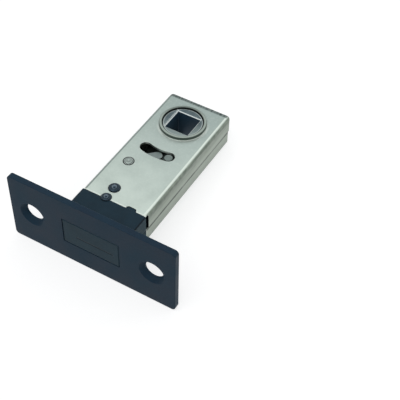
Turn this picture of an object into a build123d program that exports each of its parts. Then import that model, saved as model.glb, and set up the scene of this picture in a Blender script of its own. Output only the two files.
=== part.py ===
from build123d import *
import math
import os

# Tubular door latch with a flush bolt, in millimetres.
# Origin: the middle of the forend's front face. +X is to the right seen from the front, +Y runs into the door
# and +Z is up, square to the case's broad faces.
# On a bench it comes apart into a forend, a two-part bolt guide, two pressed case shells, a bolt with its tail,
# a follower with its drive pin, a lever between the two, and three springs.

os.makedirs("parts", exist_ok=True)

# Forend plate
FOREND_LENGTH = 57.0
FOREND_HEIGHT = 25.0
FOREND_THICK = 2.0
FOREND_CORNER = 1.2
FOREND_EDGE = 0.15
SCREW_SPACING = 41.5
SCREW_HOLE = 6.0
SCREW_SINK = 8.5

# Case of two pressed shells
CASE_WIDTH = 22.1
CASE_HEIGHT = 11.5
CASE_REAR = 63.05
SHEET = 0.8
CASE_BEND = 1.2
CASE_CORNER = 1.2
SEAM_DROP = 0.15
SEAM_GAP = 0.15
LOWER_INSET = 0.25
SIDE_RELIEF = 1.25
TAB_WIDTH = 4.0
TAB_OVERLAP = 3.5

# Two-part bolt guide
GUIDE_SHOULDER = 12.55
GUIDE_SIDE_WALL = 1.25
GUIDE_TOP_WALL = 0.9
GUIDE_BACK_WALL = 1.25
GUIDE_EDGE = 0.45
REBATE_DEPTH = 1.0
SPIGOT_LENGTH = 2.4
SPIGOT_WALL = 0.9
TONGUE_LENGTH = 8.4
TONGUE_THICK = 1.15
TONGUE_CORNER = 1.5
REAR_STUD_X = -3.05
REAR_STUD_Y = 17.35
REAR_STUD = 3.7
FRONT_STUD_Y = 13.0
FRONT_STUD = 3.3
STUD_RISE = 0.25
KEY_X = 5.75
KEY_WIDTH = 3.3
KEY_DEPTH = 0.95
KEY_TAPER = 0.6

# Bolt, its tail and its spring
BOLT_THROW = 7.5
BOLT_RUN = 0.1
WINDOW_PLAY = 0.15
BOLT_EDGE = 0.25
MAGNET = 6.0
MAGNET_THICK = 3.0
MAGNET_SKIN = 1.0
MAGNET_SPREAD = 11.6
TAIL_THICK = 1.4
TAIL_SHOULDER = 0.6
TAIL_STRIP = 1.1
TAIL_CORNER = 1.0
FINGER = 1.8
FINGER_REACH = 10.1
WINDOW_FRONT = 0.35
CROSS_PIN = 2.0
CROSS_PIN_Y = 8.0
BOLT_SPRING = 4.0
SPRING_BAR = 1.45
BOLT_SPRING_WIRE = 0.3
BOLT_SPRING_TURNS = 7.0
BAR = 1.6

# Follower, its drive pin and its spring
BACKSET = 51.55
SPINDLE = 8.1
SPINDLE_CHAMFER = 0.45
BARREL = 13.0
BARREL_EDGE = 0.12
HUB = 14.4
COLLAR_RISE = 1.15
COLLAR_WALL = 0.9
COLLAR_FOOT = 0.15
COLLAR_LIP = 0.15
BARREL_SINK = 0.45
PIN_CIRCLE = 15.3
DRIVE_PIN = 3.0
PIN_SINK = 0.3
PIN_EDGE = 0.3
PIN_REST = 14.2
FOLLOWER_TURN = 31.0
SLOT_WIDTH = 3.95
ARM_THICK = 2.0
ARM_ROOT = 10.0
ARM_TIP = 5.4
FOLLOWER_SPRING = 2.4
FOLLOWER_SPRING_WIRE = 0.35
FOLLOWER_SPRING_TURNS = 5.0
SPRING_PEG = 1.3
SPRING_PEG_TIP = 0.8
SPRING_PEG_ROOT = 1.6

# Lever on its rivet
PIVOT_X = -5.6
PIVOT_Y = 28.9
RIVET = 3.0
RIVET_SINK = 0.3
SLEEVE = 5.0
WASHER = 5.6
LEVER_THICK = 1.0
LEVER_BOSS = 6.0
LEVER_TIP = 3.1
TIP_X = 5.58
TIP_Y = 7.55
HOLLOW = 6.0
HOLLOW_X = 7.2
HOLLOW_Y = 3.35
LEVER_RATIO = 1.55
LEVER_POST = 2.2
POST_BOSS = 3.8
POST_REACH = 0.5
LEVER_SPRING_WIRE = 0.5
LEVER_SPRING_TURNS = 2.33
LEVER_SPRING_LEG = 3.7
LEVER_SPRING_END = 2.0

# Clearances
SEAT = 0.05
PLAY = 0.3
THRUST = 0.2

# Heights and widths that follow
TOP = CASE_HEIGHT / 2
INSIDE = TOP - SHEET
SEAM = -SEAM_DROP
HALF = CASE_WIDTH / 2
FRONT = GUIDE_SHOULDER + SEAT
BORE_X = HALF - GUIDE_SIDE_WALL
BORE_Z = TOP - GUIDE_TOP_WALL
BOLT_X = BORE_X - BOLT_RUN
BOLT_Z = BORE_Z - BOLT_RUN
WALL_FRONT = GUIDE_SHOULDER - GUIDE_BACK_WALL
BOLT_REAR = WALL_FRONT - SEAT
TAIL_END = PIVOT_Y - SLEEVE / 2 - PLAY
SPRING_END = TAIL_END - SPRING_BAR
BOLT_SPRING_LENGTH = SPRING_END - SEAT - FRONT
COLLAR_TOP = TOP + COLLAR_RISE
BARREL_TOP = COLLAR_TOP - BARREL_SINK
LEVER_TOP = INSIDE - PLAY
LEVER_LOW = LEVER_TOP - LEVER_THICK
ARM_TOP = LEVER_LOW - PLAY
ARM_LOW = ARM_TOP - ARM_THICK
LEVER_TURN = LEVER_RATIO * FOLLOWER_TURN
POST_RADIUS = BOLT_THROW / (2 * math.sin(math.radians(LEVER_TURN / 2)))


def slab(x0, x1, y0, y1, z0, z1):
    """A block between two corners."""
    return Pos((x0 + x1) / 2, (y0 + y1) / 2, (z0 + z1) / 2) * Box(x1 - x0, y1 - y0, z1 - z0)


def upright(x, y, z0, z1, diameter):
    """A round bar along Z."""
    return Pos(x, y, (z0 + z1) / 2) * Cylinder(diameter / 2, z1 - z0)


def lengthwise(x, z, y0, y1, diameter):
    """A round bar along Y."""
    return Pos(x, (y0 + y1) / 2, z) * Rot(90, 0, 0) * Cylinder(diameter / 2, y1 - y0)


def plate(sketch, z0, z1):
    """A flat sketch drawn in plan, raised between two heights."""
    return extrude(Pos(0, 0, z0) * sketch, z1 - z0)


def upside_down(solid):
    """The same form below the middle plane."""
    return mirror(solid, about=Plane.XY)


def tapered_arm(root, root_diameter, tip, tip_diameter):
    """The outline of a lever arm: two round ends joined by their common tangents."""
    ends = Pos(*root) * Circle(root_diameter / 2) + Pos(*tip) * Circle(tip_diameter / 2)
    return make_hull(ends.edges())


def formed_wire(points, wire):
    """Round wire bent through a row of points, drawn as short straight lengths of five-sided section."""
    sections = []
    for here, point in enumerate(points):
        before = Vector(*points[max(here - 1, 0)])
        after = Vector(*points[min(here + 1, len(points) - 1)])
        along = (after - before).normalized()
        across = along.cross(Vector(0, 0, 1))
        plane = Plane(origin=point, x_dir=across, z_dir=along)
        sections.append(plane * RegularPolygon(wire / 2, 5))
    return loft(sections, ruled=True)


def helix_points(radius, pitch, turns, start=0.0, per_turn=8):
    """Points up a helix about Z, from this starting angle."""
    count = round(turns * per_turn)
    points = []
    for step in range(count + 1):
        angle = math.radians(start + 360 * turns * step / count)
        points.append((radius * math.cos(angle), radius * math.sin(angle), pitch * turns * step / count))
    return points


def coil(outer, wire, length, turns):
    """A compression spring that stands on the origin and rises along Z, with its ends closed flat."""
    radius = (outer - wire) / 2
    rise = length - 3 * wire
    closed = helix_points(radius, wire, 1)[:-1]
    points = [(x, y, z + wire / 2) for x, y, z in closed]
    points += [(x, y, z + wire * 1.5) for x, y, z in helix_points(radius, rise / (turns - 2), turns - 2)]
    top = [(x, y, z + wire * 1.5 + rise) for x, y, z in helix_points(radius, wire, 1, 360 * (turns - 2))[1:]]
    points += [(x, y, min(z, length - wire / 2)) for x, y, z in top]
    return formed_wire(points, wire)


def forend():
    front = Plane(origin=(0, 0, 0), x_dir=(1, 0, 0), z_dir=(0, -1, 0))
    body = extrude(front * RectangleRounded(FOREND_LENGTH, FOREND_HEIGHT, FOREND_CORNER), -FOREND_THICK)
    body = chamfer(body.faces().sort_by(Axis.Y)[0].edges(), FOREND_EDGE)
    window_x = BOLT_X + WINDOW_PLAY
    window_z = BOLT_Z + WINDOW_PLAY
    body -= slab(-window_x, window_x, -1, FOREND_THICK + 1, -window_z, window_z)
    seat_x = HALF + SEAT
    seat_z = TOP + SEAT
    seat = slab(-seat_x, seat_x, FOREND_THICK - REBATE_DEPTH, FOREND_THICK + 1, -seat_z, seat_z)
    body -= fillet(seat.edges().filter_by(Axis.Y), GUIDE_EDGE)
    for side in (-1, 1):
        x = side * SCREW_SPACING / 2
        body -= lengthwise(x, 0, -1, FOREND_THICK + 1, SCREW_HOLE)
        sink_depth = (SCREW_SINK - SCREW_HOLE) / 2
        cone = Cone(SCREW_SINK / 2, SCREW_HOLE / 2, sink_depth)
        body -= Pos(x, sink_depth / 2, 0) * Rot(-90, 0, 0) * cone
    return body


def stud(x, y, diameter):
    """A cast pip whose head is set over the shell and locks it to the guide."""
    head = upright(x, y, INSIDE - TONGUE_THICK, TOP + STUD_RISE, diameter)
    return chamfer(head.edges().sort_by(Axis.Z)[-1], STUD_RISE)


def key_outline(grow):
    """The trapezoid that locates the shell's front edge, wider at its foot."""
    wide = KEY_WIDTH / 2 + grow
    narrow = wide - KEY_TAPER
    y0 = GUIDE_SHOULDER - 1
    y1 = GUIDE_SHOULDER + KEY_DEPTH * 0.45
    y2 = GUIDE_SHOULDER + KEY_DEPTH + grow
    points = [(KEY_X - wide, y0), (KEY_X + wide, y0), (KEY_X + wide, y1), (KEY_X + narrow, y2), (KEY_X - narrow, y2),
              (KEY_X - wide, y1)]
    return make_face(Polyline(*points, close=True))


def guide_half(seam, inset):
    """Half of the guide, from its seam up to the case's top; the lower half is the same form turned over."""
    body = slab(-HALF, HALF, FOREND_THICK - REBATE_DEPTH, GUIDE_SHOULDER, seam, TOP)
    long_edges = body.edges().filter_by(Axis.Y).sort_by(Axis.Z)[-2:]
    body = fillet(long_edges, GUIDE_EDGE)
    spigot_x = HALF - SHEET - inset - SEAT
    spigot_top = INSIDE - SEAT
    rear = GUIDE_SHOULDER + SPIGOT_LENGTH
    spigot = slab(-spigot_x, spigot_x, GUIDE_SHOULDER - 0.5, rear, seam, spigot_top)
    spigot = chamfer(spigot.edges().filter_by(Axis.Y).sort_by(Axis.Z)[-2:], CASE_BEND - SHEET + 2 * SEAT)
    inner_x = spigot_x - SPIGOT_WALL
    spigot -= slab(-inner_x, inner_x, GUIDE_SHOULDER, rear + 1, seam - 1, spigot_top - TONGUE_THICK)
    tongue_x = spigot_x - SPIGOT_WALL
    tongue_rear = GUIDE_SHOULDER + TONGUE_LENGTH
    tongue = slab(-tongue_x, tongue_x, rear - 0.5, tongue_rear, spigot_top - TONGUE_THICK, spigot_top)
    tongue = chamfer(tongue.edges().filter_by(Axis.Z).sort_by(Axis.Y)[-2:], TONGUE_CORNER)
    body += spigot + tongue
    body += stud(REAR_STUD_X, REAR_STUD_Y, REAR_STUD)
    body += stud(REAR_STUD_X, FRONT_STUD_Y, FRONT_STUD)
    body += plate(key_outline(0), INSIDE - TONGUE_THICK, TOP - 0.1)
    body -= slab(-BORE_X, BORE_X, 0, WALL_FRONT, -BORE_Z, BORE_Z)
    slot_x = tail_half_width() + BOLT_RUN
    slot_z = TAIL_THICK / 2 + BOLT_RUN
    return body - slab(-slot_x, slot_x, WALL_FRONT - 1, GUIDE_SHOULDER + 0.1, -slot_z - 0.5, slot_z)


def tail_half_width():
    """The tail's neck passes the guide's back wall; its shoulders stop against that wall."""
    return HALF - SHEET - SEAT - SPIGOT_WALL - PLAY - TAIL_SHOULDER


def pressed_form(half_width, front, rear, low, high, ease):
    """A block as the press tool leaves it, with rounded rear corners and its top rim eased by a fillet or chamfer."""
    body = slab(-half_width, half_width, front, rear, low, high)
    shrink = HALF - half_width
    body = ease(body.edges().filter_by(Axis.Z).sort_by(Axis.Y)[-2:], CASE_CORNER - shrink)
    rim = [edge for edge in body.faces().sort_by(Axis.Z)[-1].edges() if edge.center().Y > front + 0.01]
    return ease(rim, max(CASE_BEND - shrink, SEAT))


def collar():
    """The drawn collar that the follower's barrel turns in, as half of its section turned about the spindle axis."""
    inner = BARREL / 2 + SEAT * 2
    outer = inner + COLLAR_WALL
    outline = [(inner, COLLAR_TOP), (inner, INSIDE), (outer + COLLAR_FOOT, INSIDE), (outer + COLLAR_FOOT, TOP),
               (outer, TOP + COLLAR_FOOT), (outer, COLLAR_TOP - COLLAR_LIP), (outer - COLLAR_LIP, COLLAR_TOP)]
    section = Plane.XZ * make_face(Polyline(*outline, close=True))
    return Pos(0, BACKSET, 0) * revolve(section, Axis.Z)


def shell_half(seam, inset):
    """A case half, from its seam up to the top; the lower one is the same form turned over."""
    half_width = HALF - inset
    rear = CASE_REAR - inset
    body = pressed_form(half_width, FRONT, rear, seam, TOP, fillet)
    body -= pressed_form(half_width - SHEET, FRONT - 1, rear - SHEET, seam - 1, INSIDE, chamfer)
    body -= upright(0, BACKSET, 0, TOP + 1, BARREL + 4 * SEAT + 1)
    body += collar()
    body -= upright(PIVOT_X, PIVOT_Y, 0, TOP + 1, RIVET + SEAT)
    sink = Cone(RIVET / 2, RIVET / 2 + RIVET_SINK, RIVET_SINK)
    body -= Pos(PIVOT_X, PIVOT_Y, TOP - RIVET_SINK / 2) * sink
    body -= upright(REAR_STUD_X, REAR_STUD_Y, 0, TOP + 1, REAR_STUD + 4 * SEAT)
    body -= upright(REAR_STUD_X, FRONT_STUD_Y, 0, TOP + 1, FRONT_STUD + 4 * SEAT)
    return body - plate(key_outline(2 * SEAT), 0, TOP + 1)


def upper_shell():
    body = shell_half(SEAM, 0)
    for side in (-1, 1):
        x = side * HALF
        body -= slab(x - SHEET - 0.1, x + SHEET, FRONT - 1, FRONT + SIDE_RELIEF, SEAM - 1, TOP - CASE_BEND * 0.35)
    start = PIN_REST + 0.2
    path = CenterArc((0, BACKSET), PIN_CIRCLE, -90 + start, -(FOLLOWER_TURN + 0.4))
    return body - plate(SlotArc(path, SLOT_WIDTH), 0, TOP + 1)


def lower_shell():
    body = upside_down(shell_half(-SEAM + SEAM_GAP, LOWER_INSET))
    tab_rear = CASE_REAR - SHEET - SEAT
    for side in (-1, 1):
        x = side * HALF / 2
        body += slab(x - TAB_WIDTH / 2, x + TAB_WIDTH / 2, tab_rear - SHEET, tab_rear, -INSIDE, SEAM + TAB_OVERLAP)
    return body


def bolt_head():
    body = slab(-BOLT_X, BOLT_X, 0, BOLT_REAR, -BOLT_Z, BOLT_Z)
    body = chamfer(body.faces().sort_by(Axis.Y)[0].edges(), BOLT_EDGE)
    slot_x = tail_half_width() + SEAT
    slot_z = TAIL_THICK / 2 + SEAT
    body -= slab(-slot_x, slot_x, MAGNET_SKIN + MAGNET_THICK, BOLT_REAR + 1, -slot_z, slot_z)
    for side in (-1, 1):
        body -= lengthwise(side * MAGNET_SPREAD / 2, 0, MAGNET_SKIN, BOLT_REAR + 1, MAGNET + 2 * SEAT)
    return body - upright(0, CROSS_PIN_Y, -BOLT_Z - 1, BOLT_Z + 1, CROSS_PIN + SEAT)


def magnet(side):
    y0 = MAGNET_SKIN + SEAT
    return lengthwise(side * MAGNET_SPREAD / 2, 0, y0, y0 + MAGNET_THICK - SEAT, MAGNET)


def bolt_pin():
    return upright(0, CROSS_PIN_Y, -BOLT_Z + SEAT, BOLT_Z - SEAT, CROSS_PIN)


def post_place(turn):
    """Where the lever's post stands when the lever has turned by this angle."""
    angle = math.radians(turn - LEVER_TURN / 2)
    return (PIVOT_X + POST_RADIUS * math.cos(angle), PIVOT_Y + POST_RADIUS * math.sin(angle))


def spring_axis_x():
    """The bolt spring lies beside the outer strip of the tail."""
    return -tail_half_width() + TAIL_STRIP + BOLT_SPRING / 2 + SEAT


def bolt_tail():
    neck = tail_half_width()
    wide = neck + TAIL_SHOULDER
    front = MAGNET_SKIN + MAGNET_THICK + SEAT
    shoulder = GUIDE_SHOULDER + BOLT_THROW + PLAY
    slot_left = post_place(0)[0] - LEVER_POST / 2 - PLAY
    slot_right = post_place(LEVER_TURN / 2)[0] + LEVER_POST / 2 + PLAY
    slot_front = post_place(0)[1] - LEVER_POST / 2 - PLAY
    slot_rear = post_place(LEVER_TURN)[1] + BOLT_THROW + LEVER_POST / 2 + PLAY
    rail_left = PIVOT_X + SLEEVE / 2 + 2 * PLAY
    rail_right = slot_right + BAR
    outline = [(-neck, front), (neck, front), (neck, shoulder), (wide, shoulder), (wide, TAIL_END),
               (rail_right, TAIL_END + wide - rail_right), (rail_right, slot_rear + BAR), (rail_left, slot_rear + BAR),
               (rail_left, TAIL_END), (-wide, TAIL_END), (-wide, shoulder), (-neck, shoulder)]
    body = plate(make_face(Polyline(*outline, close=True)), -TAIL_THICK / 2, TAIL_THICK / 2)
    body = fillet(body.edges().filter_by(Axis.Z).sort_by(Axis.Y)[-2:], TAIL_CORNER)
    middle = (slot_front + slot_rear) / 2
    slot = Pos((slot_left + slot_right) / 2, middle) * RectangleRounded(
        slot_right - slot_left, slot_rear - slot_front, (slot_right - slot_left) / 2 - 0.05)
    body -= plate(slot, -TAIL_THICK, TAIL_THICK)
    x = spring_axis_x()
    half = BOLT_SPRING / 2 + SEAT
    window = slab(x - half, x + half, GUIDE_SHOULDER - WINDOW_FRONT, SPRING_END, -TAIL_THICK, TAIL_THICK)
    finger = slab(x - FINGER / 2, x + FINGER / 2, SPRING_END - FINGER_REACH, TAIL_END, -TAIL_THICK / 2, TAIL_THICK / 2)
    body = body - window + finger
    return body - upright(0, CROSS_PIN_Y, -TAIL_THICK, TAIL_THICK, CROSS_PIN + SEAT)


def bolt_spring():
    place = Pos(spring_axis_x(), GUIDE_SHOULDER + SEAT, 0) * Rot(-90, 0, 0)
    return place * coil(BOLT_SPRING, BOLT_SPRING_WIRE, BOLT_SPRING_LENGTH, BOLT_SPRING_TURNS)


def pin_place():
    """The drive pin at rest, at the right end of the arc slot."""
    angle = math.radians(PIN_REST)
    return (PIN_CIRCLE * math.sin(angle), BACKSET - PIN_CIRCLE * math.cos(angle))


def peg_place():
    """Where the follower's spring meets the arm, ahead of the hub and behind the lever's sweep."""
    y = BACKSET - HUB / 2 - PLAY - FOLLOWER_SPRING / 2
    share = (BACKSET - y) / (BACKSET - pin_place()[1])
    width = ARM_ROOT + (ARM_TIP - ARM_ROOT) * share
    x = pin_place()[0] * share - width / 2 / math.cos(math.radians(PIN_REST))
    return (x, y, (ARM_LOW + ARM_TOP) / 2)


def follower():
    body = upright(0, BACKSET, -BARREL_TOP, BARREL_TOP, BARREL)
    body = chamfer(body.edges().filter_by(GeomType.CIRCLE), BARREL_EDGE)
    body += upright(0, BACKSET, -INSIDE + THRUST, INSIDE - THRUST, HUB)
    body += plate(tapered_arm((0, BACKSET), ARM_ROOT, pin_place(), ARM_TIP), ARM_LOW, ARM_TOP)
    x, y, z = peg_place()
    reach = SPRING_PEG_TIP + SPRING_PEG_ROOT
    body += Pos(x - SPRING_PEG_TIP + reach / 2, y, z) * Rot(0, 90, 0) * Cylinder(SPRING_PEG / 2, reach)
    body -= Pos(0, BACKSET, 0) * Box(SPINDLE, SPINDLE, 2 * BARREL_TOP + 1)
    mouth = SPINDLE + 2 * SPINDLE_CHAMFER
    for side in (0, 180):
        flare = loft([Pos(0, 0, BARREL_TOP - SPINDLE_CHAMFER) * Rectangle(SPINDLE, SPINDLE),
                      Pos(0, 0, BARREL_TOP + 0.01) * Rectangle(mouth + 0.02, mouth + 0.02)])
        body -= Pos(0, BACKSET, 0) * Rot(side, 0, 0) * flare
    return body - upright(*pin_place(), ARM_LOW - 1, ARM_TOP + 1, DRIVE_PIN)


def drive_pin():
    body = upright(*pin_place(), ARM_LOW, TOP - PIN_SINK, DRIVE_PIN)
    return chamfer(body.edges().sort_by(Axis.Z)[-1], PIN_EDGE)


def follower_spring():
    x, y, z = peg_place()
    start = -HALF + SHEET + SEAT
    place = Pos(start, y, z) * Rot(0, 90, 0)
    return place * coil(FOLLOWER_SPRING, FOLLOWER_SPRING_WIRE, x - PLAY - start, FOLLOWER_SPRING_TURNS)


def lever():
    """Two arms on one boss; a hollow in the rear arm's flank clears the drive pin at the end of its travel."""
    pivot = (PIVOT_X, PIVOT_Y)
    rear_arm = tapered_arm(pivot, LEVER_BOSS, (PIVOT_X + TIP_X, PIVOT_Y + TIP_Y), LEVER_TIP)
    front_arm = tapered_arm(pivot, LEVER_BOSS, post_place(0), POST_BOSS)
    body = plate(rear_arm, LEVER_LOW, LEVER_TOP) + plate(front_arm, LEVER_LOW, LEVER_TOP)
    body -= upright(PIVOT_X + HOLLOW_X, PIVOT_Y + HOLLOW_Y, 0, TOP, HOLLOW)
    body -= upright(*pivot, 0, TOP, RIVET + 2 * SEAT)
    return body - upright(*post_place(0), 0, TOP, LEVER_POST)


def lever_post():
    return upright(*post_place(0), -TAIL_THICK / 2 - POST_REACH, LEVER_TOP, LEVER_POST)


def lever_rivet():
    """The lever's pivot, riveted flush into both shells."""
    return upright(PIVOT_X, PIVOT_Y, -TOP, TOP, RIVET)


def pivot_sleeve():
    body = upright(PIVOT_X, PIVOT_Y, -INSIDE + SEAT, LEVER_LOW - SEAT, SLEEVE)
    return body - upright(PIVOT_X, PIVOT_Y, -TOP, TOP, RIVET + 2 * SEAT)


def lever_washer():
    body = upright(PIVOT_X, PIVOT_Y, LEVER_TOP + SEAT, INSIDE - SEAT, WASHER)
    return body - upright(PIVOT_X, PIVOT_Y, 0, TOP, RIVET + 2 * SEAT)


def lever_spring():
    """A light torsion coil round the sleeve: one leg on the case wall, the other hooked over the lever's edge."""
    radius = SLEEVE / 2 + 3 * SEAT + LEVER_SPRING_WIRE / 2
    pitch = LEVER_SPRING_WIRE * 1.2
    low = LEVER_LOW - PLAY - LEVER_SPRING_WIRE / 2 - pitch * LEVER_SPRING_TURNS
    wall = -HALF + SHEET + SEAT + LEVER_SPRING_WIRE / 2
    points = [(wall + step, PIVOT_Y - radius, low) for step in (0, LEVER_SPRING_END)]
    for x, y, z in helix_points(radius, pitch, LEVER_SPRING_TURNS, -90):
        points.append((PIVOT_X + x, PIVOT_Y + y, low + z))
    x, y, z = points[-1]
    angle = math.radians(-90 + 360 * LEVER_SPRING_TURNS)
    points.append((x - LEVER_SPRING_LEG * math.sin(angle), y + LEVER_SPRING_LEG * math.cos(angle), z))
    return formed_wire(points, LEVER_SPRING_WIRE)


PIECES = {
    "forend": forend(),
    "guide_upper": guide_half(SEAM, 0),
    "guide_lower": upside_down(guide_half(-SEAM + SEAT, LOWER_INSET)),
    "upper_shell": upper_shell(),
    "lower_shell": lower_shell(),
    "lever_rivet": lever_rivet(),
    "pivot_sleeve": pivot_sleeve(),
    "lever_washer": lever_washer(),
    "lever_spring": lever_spring(),
    "lever": lever(),
    "lever_post": lever_post(),
    "bolt_head": bolt_head(),
    "bolt_tail": bolt_tail(),
    "bolt_pin": bolt_pin(),
    "magnet_left": magnet(-1),
    "magnet_right": magnet(1),
    "bolt_spring": bolt_spring(),
    "follower": follower(),
    "drive_pin": drive_pin(),
    "follower_spring": follower_spring(),
}

for name, piece in PIECES.items():
    export_step(piece, f"parts/{name}.step")
    print(name, round(piece.volume, 2))
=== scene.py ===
# %% [markdown]
# # Dressing a tubular door latch
# A tubular latch is a flat steel case that slides into a hole bored in a door's edge. Only its black forend
# shows once it is fitted, with the rectangular bolt lying flush in the forend's window. The shapes and
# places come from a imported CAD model, which is loaded first and never moved. Each visible piece is then
# kept, softened or built anew, and every piece gets a material made of nodes.

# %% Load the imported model
import bmesh
import bpy
import math
from mathutils import Matrix, Vector


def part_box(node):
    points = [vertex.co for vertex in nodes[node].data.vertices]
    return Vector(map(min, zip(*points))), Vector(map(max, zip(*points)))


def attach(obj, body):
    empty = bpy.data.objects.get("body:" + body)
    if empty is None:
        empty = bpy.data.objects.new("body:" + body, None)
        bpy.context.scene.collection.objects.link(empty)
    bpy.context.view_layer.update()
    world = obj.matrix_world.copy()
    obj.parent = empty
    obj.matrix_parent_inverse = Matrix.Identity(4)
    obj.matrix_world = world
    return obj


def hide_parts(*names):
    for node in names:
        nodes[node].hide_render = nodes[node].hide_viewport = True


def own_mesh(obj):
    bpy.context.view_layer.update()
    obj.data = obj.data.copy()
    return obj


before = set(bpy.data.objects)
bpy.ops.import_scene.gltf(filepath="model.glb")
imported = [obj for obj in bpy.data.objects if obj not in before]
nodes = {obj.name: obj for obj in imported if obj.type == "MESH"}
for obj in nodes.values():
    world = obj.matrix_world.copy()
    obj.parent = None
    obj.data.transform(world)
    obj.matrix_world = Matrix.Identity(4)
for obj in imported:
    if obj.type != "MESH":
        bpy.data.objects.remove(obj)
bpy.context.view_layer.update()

# %% [markdown]
# ## Sizes
# Blender works in metres, and a latch is measured in millimetres, so each size is written in millimetres
# and multiplied once. The places are in the CAD model's own frame: the middle of the forend's face is the
# origin, +Y runs into the door and +Z is square to the case. A place is given as X and Y, and a stud's
# third number is its diameter. SPINDLE is the width of the square hole. BARREL is the radius of the
# follower's round part and COLLAR that of the collar round it. JOINT is the height of the shaded line where
# the two shells meet. The line across the bolt is given by its middle in X and Z, and by how far it reaches
# to each side.

# %% Sizes in millimetres
MM = 0.001
FOREND = (57.0, 2.0, 25.0)
FOREND_CORNER = 1.2
SCREW_SPACING = 41.5
SCREW_HOLE = 6.0
SCREW_SINK = 8.5
CASE_TOP = 5.75
CASE_SIDE = 11.05
PIVOT = (-5.6, 28.9)
REAR_STUD = (-3.05, 17.35, 3.7)
FRONT_STUD = (-3.05, 13.0, 3.3)
DRIVE_PIN = (3.75, 36.72)
BACKSET = 51.55
SPINDLE = 8.1
BARREL = 6.5
COLLAR = 7.5
JOINT = -0.55
BOLT_LINE = (1.4, -0.6)
BOLT_LINE_REACH = 6.2
print("forend", FOREND, "mm, with the follower's axis", BACKSET, "mm behind its face")

# %% [markdown]
# ## Four small helpers
# Colours are picked as sRGB hex values, the way a paint program shows them, but shaders add light together,
# which only works on linear values. One function turns the one into the other. A node tree is easiest to
# read when each node is one line. So one function adds a node, sets its options, fills or links its inputs
# by name, and gives back its first live output, ready to link onwards. A pattern's scale in Blender is a
# count per metre, so the third turns a real size in millimetres into it. The fourth starts a material with
# one shader.

# %% Colour, node and scale helpers
def linear(hexes):
    """An sRGB hex colour as linear red, green, blue and alpha."""
    parts = [int(hexes[i:i + 2], 16) / 255 for i in (1, 3, 5)]
    return tuple(c / 12.92 if c <= 0.04045 else ((c + 0.055) / 1.055) ** 2.4 for c in parts) + (1.0,)


def add(tree, kind, values=None, **settings):
    """One node with its settings and links; gives its first live output, or the node where it has none."""
    node = tree.nodes.new(kind)
    for name, setting in settings.items():
        setattr(node, name, setting)
    for name, value in (values or {}).items():
        if isinstance(name, int):
            place = node.inputs[name]
        else:
            place = next(socket for socket in node.inputs if socket.enabled and socket.name == name)
        if isinstance(value, bpy.types.NodeSocket):
            tree.links.new(value, place)
        else:
            place.default_value = value
    return next((socket for socket in node.outputs if socket.enabled), node)


def per_mm(size):
    """A texture's scale for a pattern whose features are this many millimetres across."""
    return 1 / (size * MM)


def new_finish(name, **shader):
    """A material with one shader, and the object coordinates that its patterns read."""
    material = bpy.data.materials.new(name)
    material.use_nodes = True
    tree = material.node_tree
    tree.nodes.clear()
    values = {title.replace("_", " "): value for title, value in shader.items()}
    surface = add(tree, "ShaderNodeBsdfPrincipled", values).node
    add(tree, "ShaderNodeOutputMaterial", {"Surface": surface.outputs["BSDF"]})
    place = add(tree, "ShaderNodeTexCoord").node.outputs["Object"]
    return material, tree, surface, place


print("white as linear light", linear("#ffffff"))

# %% [markdown]
# ## What all the finishes share
# No finish is one flat colour. Most start as two shades that drift over slow patches. Layers go over that,
# each seen through a mask, and the edges are made lighter: worn on the black parts, a painted highlight on
# the zinc plate, and partly a painted highlight on the bare metals. A Bevel node gives the normal of a
# rounded edge, so where it departs from the real normal, the surface is near an edge. The sheen drifts as
# well, because handling and tumbling are never even.

# %% Ground, layers, edges and sheen
def two_tones(tree, place, patch, dark, light):
    """A noise with patches of this many millimetres, and the drift between two shades that it makes."""
    cloud = add(tree, "ShaderNodeTexNoise", {"Vector": place, "Scale": per_mm(patch), "Detail": 3.0})
    slow = add(tree, "ShaderNodeMapRange", {"Value": cloud, "From Min": 0.3, "From Max": 0.7})
    colour = add(tree, "ShaderNodeMix",
                 {"Factor": slow, "A": linear(dark), "B": linear(light)}, data_type="RGBA")
    return cloud, colour


def layered(tree, colour, layers):
    """Lays shades over a colour one after another, each seen through its mask."""
    for mask, shade in layers:
        top = linear(shade) if isinstance(shade, str) else shade
        colour = add(tree, "ShaderNodeMix", {"Factor": mask, "A": colour, "B": top}, data_type="RGBA")
    return colour


def painted(tree, surface, colour, layers):
    """Gives the shader a colour with its layers."""
    tree.links.new(layered(tree, colour, layers), surface.inputs["Base Color"])


# This mask gives worn edges on the black parts, and painted highlights along the edges of the zinc plate
# and, in part, of the bare metals.
def edge_wear_and_highlight(tree, radius, begins, full, most):
    """A mask that is high where a rounded edge's normal departs from the surface's own."""
    soft = add(tree, "ShaderNodeBevel", {"Radius": radius * MM}, samples=6)
    flat = add(tree, "ShaderNodeNewGeometry").node.outputs["Normal"]
    alike = add(tree, "ShaderNodeVectorMath", {0: soft, 1: flat}, operation="DOT_PRODUCT")
    return add(tree, "ShaderNodeMapRange",
               {"Value": alike, "From Min": begins, "From Max": full, "To Max": most})


def drifting_sheen(tree, surface, texture, least, most):
    """Lets the roughness drift between two values with a noise."""
    sheen = add(tree, "ShaderNodeMapRange",
                {"Value": texture, "From Min": 0.3, "From Max": 0.7, "To Min": least, "To Max": most})
    tree.links.new(sheen, surface.inputs["Roughness"])


print("a patch of 9 mm has the scale", round(per_mm(9), 1))

# %% [markdown]
# ## Satin black on the forend
# The forend is blanked from steel strip and dipped in an electrically laid black coat, slightly blue in
# daylight. A coat like this levels almost flat and keeps a faint orange peel, with grains about 0.2 mm
# across. One grain would be under a pixel here, so the grain is drawn at 0.5 mm. The coat thins over sharp
# edges and is rubbed lighter there.

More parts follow.
